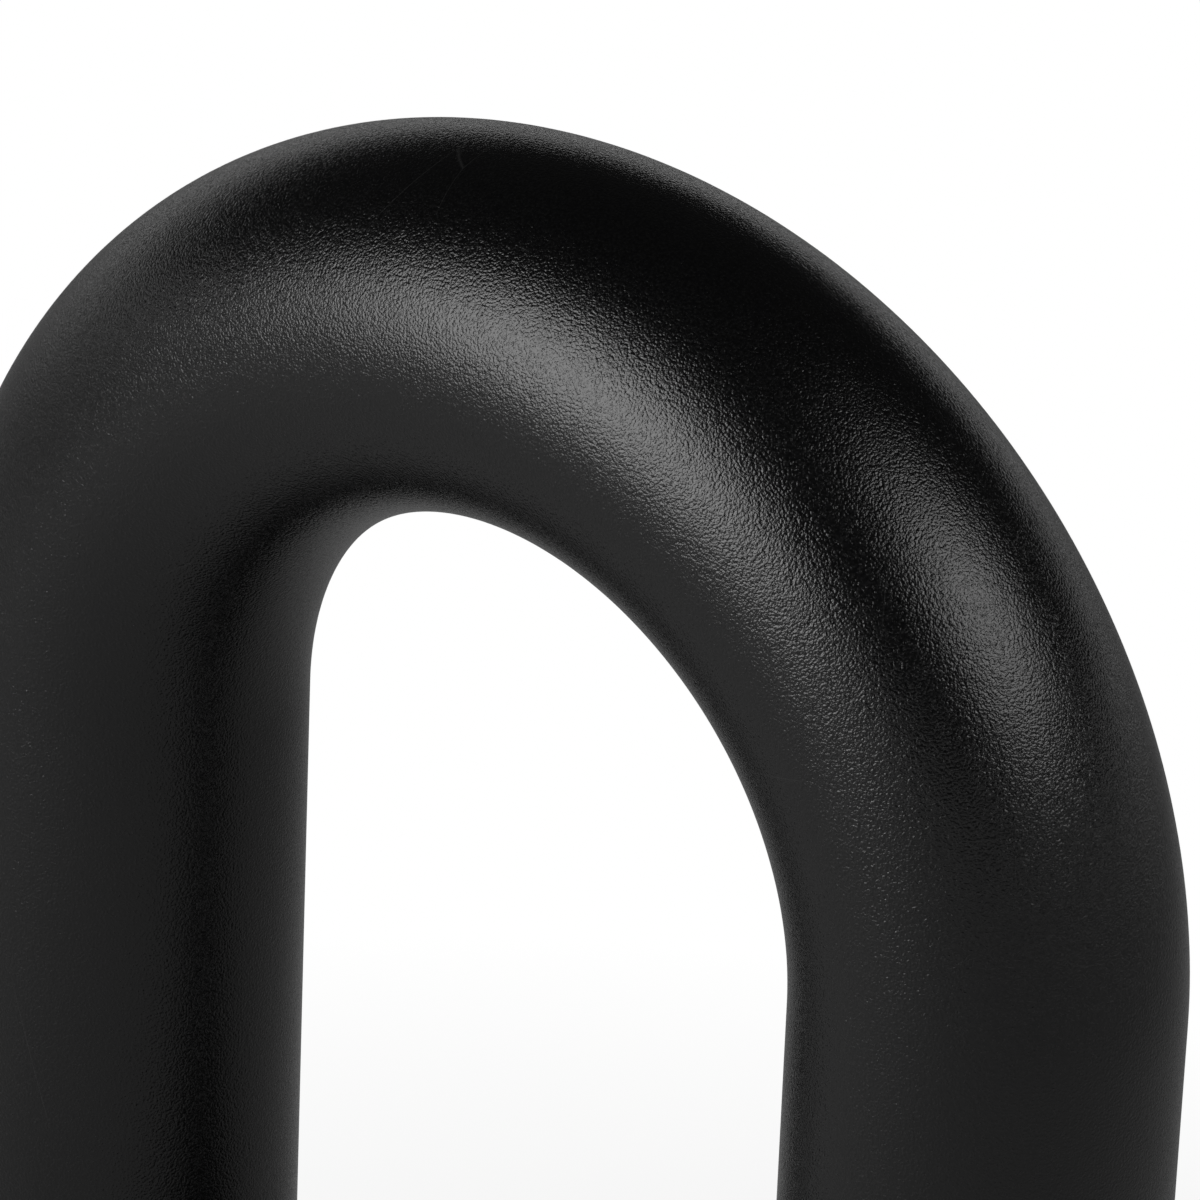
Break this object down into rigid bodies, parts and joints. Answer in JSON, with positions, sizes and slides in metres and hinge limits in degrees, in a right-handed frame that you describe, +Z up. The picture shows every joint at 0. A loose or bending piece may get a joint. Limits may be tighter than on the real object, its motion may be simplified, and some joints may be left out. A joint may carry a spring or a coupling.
{
  "type": "u lock",
  "caption": "Extra-thick black U lock: the shackle's feet are held in a crossbar by deadbolts that a key's plug drives through a pinion and racks.",
  "frame": {"origin": "middle of the crossbar's flat base", "axes": "+Z up the shackle's legs to its bend, +X from the left leg to the right, -Y the front with the keyhole"},
  "size_m": [0.276, 0.1082, 0.3379],
  "materials": {
    "black_coat": "textured matte powder coat",
    "core_steel": "hardened, as ground",
    "core_fill": "hard filled resin",
    "foot_steel": "turned and zinc plated",
    "armour_steel": "hardened, dark",
    "socket_steel": "turned, dark plated",
    "carrier_alloy": "die cast",
    "seal_rubber": "matte",
    "fastener_steel": "zinc plated",
    "escutcheon_steel": "turned, satin",
    "cylinder_brass": "nickel-free, machined",
    "face_steel": "hardened, satin",
    "disc_brass": "stamped",
    "spacer_steel": "stamped",
    "bush_bronze": "sintered bronze",
    "gear_steel": "machined, oiled",
    "bolt_steel": "hardened and ground",
    "key_steel": "nickel plated",
    "key_plastic": "moulded"
  },
  "bodies": {
    "crossbar": {"crossbar_housing": "black_coat", "armour_sleeve": "armour_steel", "lock_carrier_front": "carrier_alloy", "lock_carrier_rear": "carrier_alloy", "carrier_screws": "fastener_steel", "end_plug_pins": "fastener_steel", "cylinder_housing": "cylinder_brass", "cylinder_seal": "seal_rubber", "cylinder_lock_pin": "fastener_steel", "drill_pins": "face_steel", "escutcheon": "escutcheon_steel", "rear_bush": "bush_bronze", "end_plug_left": "black_coat", "end_plug_right": "black_coat", "end_seal_left": "seal_rubber", "end_seal_right": "seal_rubber", "socket_left": "socket_steel", "socket_right": "socket_steel", "socket_gasket_left": "seal_rubber", "socket_gasket_right": "seal_rubber", "socket_screw_left": "fastener_steel", "socket_screw_right": "fastener_steel", "screw_cover_left": "fastener_steel", "screw_cover_right": "fastener_steel", "bolt_bush_left": "bush_bronze", "bolt_bush_right": "bush_bronze"},
    "shackle": {"shackle_shell": "black_coat", "shackle_core": "core_steel", "core_infill": "core_fill", "foot_left": "foot_steel", "foot_right": "foot_steel", "foot_pin_left": "core_steel", "foot_pin_right": "core_steel"},
    "lock_plug": {"plug": "cylinder_brass", "plug_face": "face_steel", "plug_clip": "spacer_steel", "code_discs": "disc_brass", "disc_spacers": "spacer_steel", "sidebar": "spacer_steel", "pinion": "gear_steel"},
    "key": {"key_blade": "key_steel", "key_head": "key_plastic"},
    "left_bolt": {"bolt_left": "bolt_steel", "rack_left": "gear_steel", "rack_pin_left": "gear_steel"},
    "right_bolt": {"bolt_right": "bolt_steel", "rack_right": "gear_steel", "rack_pin_right": "gear_steel"}
  },
  "joints": [
    {"name": "shackle_lift", "type": "slide", "parent": "crossbar", "child": "shackle", "axis": [0, 0, 1], "range_m": [0, 0.07]},
    {"name": "plug_turn", "type": "hinge", "parent": "crossbar", "child": "lock_plug", "pos_m": [0, 0, 0.038], "axis": [0, -1, 0], "range_deg": [0, 90]},
    {"name": "left_bolt_throw", "type": "slide", "parent": "crossbar", "child": "left_bolt", "axis": [-1, 0, 0], "range_m": [0, 0.01178]},
    {"name": "right_bolt_throw", "type": "slide", "parent": "crossbar", "child": "right_bolt", "axis": [1, 0, 0], "range_m": [0, 0.01178]},
    {"name": "key_withdraw", "type": "slide", "parent": "lock_plug", "child": "key", "axis": [0, -1, 0], "range_m": [0, 0.04]}
  ],
  "couplings": [
    {"joint": "right_bolt_throw", "follows": "left_bolt_throw", "ratio": 1},
    {"joint": "plug_turn", "follows": "left_bolt_throw", "rad_per_m": 133.33}
  ]
}
